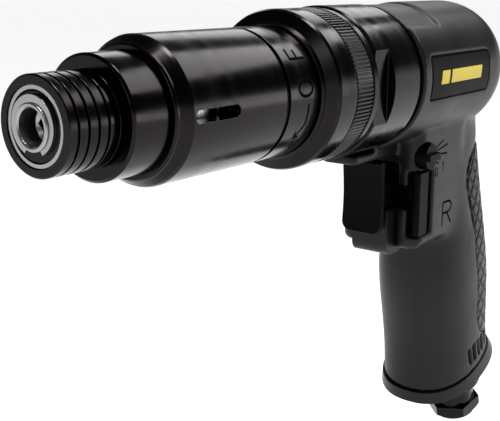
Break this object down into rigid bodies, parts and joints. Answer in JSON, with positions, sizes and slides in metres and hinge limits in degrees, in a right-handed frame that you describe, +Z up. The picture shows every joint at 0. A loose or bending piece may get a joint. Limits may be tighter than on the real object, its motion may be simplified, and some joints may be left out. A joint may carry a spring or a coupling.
{
  "type": "pneumatic screwdriver",
  "caption": "Pistol-grip air screwdriver: hex quick-change chuck, adjustable ball clutch with window, planetary gear and vane motor, reversing handle with throttle and air inlet.",
  "frame": {"origin": "centre of the bit socket's mouth, on the spindle axis", "axes": "+X out of the chuck along the spindle axis, +Y the tool's left side, +Z up, away from the handle"},
  "size_m": [0.2288, 0.0466, 0.1724],
  "materials": {
    "black_oxide_steel": "turned and black-oxided, satin gloss",
    "bright_steel": "ground and hardened",
    "coated_casting": "satin dark coating on a die casting",
    "black_moulding": "moulded, satin",
    "plain_plate": "anodised dark, plain, with an ochre line",
    "bronze": "sintered bronze",
    "grey_alloy": "machined",
    "grey_iron": "honed",
    "vane_composite": "phenolic laminate",
    "seal_rubber": "moulded"
  },
  "bodies": {
    "housing": {"motor_housing": "coated_casting", "gear_case": "black_oxide_steel", "coupling_nut": "black_oxide_steel", "clutch_housing": "black_oxide_steel", "cover_stop_ring": "bright_steel", "nose_bush": "bronze", "ring_gear": "bright_steel", "carrier_bearing": "bright_steel", "case_gasket": "seal_rubber", "front_end_plate": "grey_alloy", "rear_end_plate": "grey_alloy", "motor_cylinder": "grey_iron", "front_bearing": "bright_steel", "rear_bearing": "bright_steel", "motor_gasket": "seal_rubber", "name_plate": "plain_plate", "grip_panel": "coated_casting", "base_cap": "coated_casting", "base_screws": "black_oxide_steel", "inlet_bushing": "black_oxide_steel", "inlet_screen": "bright_steel", "inlet_seal": "seal_rubber", "throttle_bush": "bronze", "throttle_spring": "bright_steel", "trigger_skirt": "coated_casting", "selector_pin": "bright_steel"},
    "spindle": {"bit_holder": "bright_steel", "circlip": "bright_steel", "chuck_retainer": "black_oxide_steel", "chuck_spring": "bright_steel", "drive_key": "bright_steel", "clutch_spring": "bright_steel"},
    "chuck_sleeve": {"chuck_sleeve": "black_oxide_steel", "rim_ring": "bright_steel"},
    "lock_ball": {"lock_ball": "bright_steel"},
    "adjuster_washer": {"thrust_washer": "bright_steel"},
    "adjuster": {"adjusting_nut": "bright_steel"},
    "driven_plate": {"driven_plate": "bright_steel", "spring_seat": "bright_steel"},
    "carrier": {"planet_carrier": "bright_steel", "planet_pins": "bright_steel", "driving_plate": "bright_steel", "clutch_balls": "bright_steel"},
    "planet_1": {"planet_gear_1": "bright_steel"},
    "planet_2": {"planet_gear_2": "bright_steel"},
    "planet_3": {"planet_gear_3": "bright_steel"},
    "rotor": {"rotor": "bright_steel", "rotor_vanes": "vane_composite"},
    "clutch_cover": {"clutch_cover": "black_oxide_steel"},
    "trigger": {"trigger": "black_moulding", "throttle_valve": "bronze"},
    "reverse_selector": {"reverse_selector": "black_moulding"},
    "regulator": {"regulator_dial": "black_moulding"}
  },
  "joints": [
    {"name": "carrier_spin", "type": "hinge", "parent": "housing", "child": "carrier", "pos_m": [-0.1, 0, 0], "axis": [1, 0, 0], "continuous": true},
    {"name": "spindle_spin", "type": "hinge", "parent": "housing", "child": "spindle", "pos_m": [-0.03, 0, 0], "axis": [1, 0, 0], "continuous": true},
    {"name": "rotor_spin", "type": "hinge", "parent": "housing", "child": "rotor", "pos_m": [-0.16, 0, 0], "axis": [1, 0, 0], "continuous": true},
    {"name": "chuck_sleeve_slide", "type": "slide", "parent": "spindle", "child": "chuck_sleeve", "axis": [1, 0, 0], "range_m": [0, 0.003], "stiffness_N_per_m": 1500, "springref_m": -0.002, "deforming": ["chuck_spring"]},
    {"name": "lock_ball_lift", "type": "slide", "parent": "spindle", "child": "lock_ball", "axis": [0, 0, 1], "range_m": [0, 0.00065]},
    {"name": "clutch_lift", "type": "slide", "parent": "spindle", "child": "driven_plate", "axis": [1, 0, 0], "range_m": [0, 0.0012], "stiffness_N_per_m": 8000, "springref_m": -0.002, "deforming": ["clutch_spring"]},
    {"name": "adjuster_travel", "type": "slide", "parent": "spindle", "child": "adjuster_washer", "axis": [-1, 0, 0], "range_m": [0, 0.003], "deforming": ["clutch_spring"]},
    {"name": "adjuster_turn", "type": "hinge", "parent": "adjuster_washer", "child": "adjuster", "pos_m": [-0.039, 0, 0], "axis": [1, 0, 0], "range_deg": [0, 1081]},
    {"name": "clutch_cover_turn", "type": "hinge", "parent": "housing", "child": "clutch_cover", "pos_m": [-0.05, 0, 0], "axis": [1, 0, 0], "range_deg": [0, 40]},
    {"name": "trigger_slide", "type": "slide", "parent": "housing", "child": "trigger", "axis": [-1, 0, 0], "range_m": [0, 0.003], "stiffness_N_per_m": 1500, "springref_m": -0.002, "deforming": ["throttle_spring"]},
    {"name": "reverse_selector_turn", "type": "hinge", "parent": "housing", "child": "reverse_selector", "pos_m": [-0.1594, 0, -0.0407], "axis": [0, 0, 1], "range_deg": [-7, 7]},
    {"name": "regulator_turn", "type": "hinge", "parent": "housing", "child": "regulator", "pos_m": [-0.153, 0.015, -0.0268], "axis": [0, 1, 0], "range_deg": [0, 90]},
    {"name": "planet_1_spin", "type": "hinge", "parent": "carrier", "child": "planet_1", "pos_m": [-0.1145, 0, 0.0108], "axis": [1, 0, 0], "continuous": true},
    {"name": "planet_2_spin", "type": "hinge", "parent": "carrier", "child": "planet_2", "pos_m": [-0.1145, -0.00935, -0.0054], "axis": [1, 0, 0], "continuous": true},
    {"name": "planet_3_spin", "type": "hinge", "parent": "carrier", "child": "planet_3", "pos_m": [-0.1145, 0.00935, -0.0054], "axis": [1, 0, 0], "continuous": true}
  ],
  "couplings": [
    {"joint": "carrier_spin", "follows": "rotor_spin", "ratio": 0.25},
    {"joint": "spindle_spin", "follows": "rotor_spin", "ratio": 0.25},
    {"joint": "lock_ball_lift", "follows": "chuck_sleeve_slide", "ratio": 0.2166},
    {"joint": "adjuster_turn", "follows": "adjuster_travel", "rad_per_m": 6283.2},
    {"joint": "planet_1_spin", "follows": "rotor_spin", "ratio": -0.75},
    {"joint": "planet_2_spin", "follows": "rotor_spin", "ratio": -0.75},
    {"joint": "planet_3_spin", "follows": "rotor_spin", "ratio": -0.75}
  ]
}
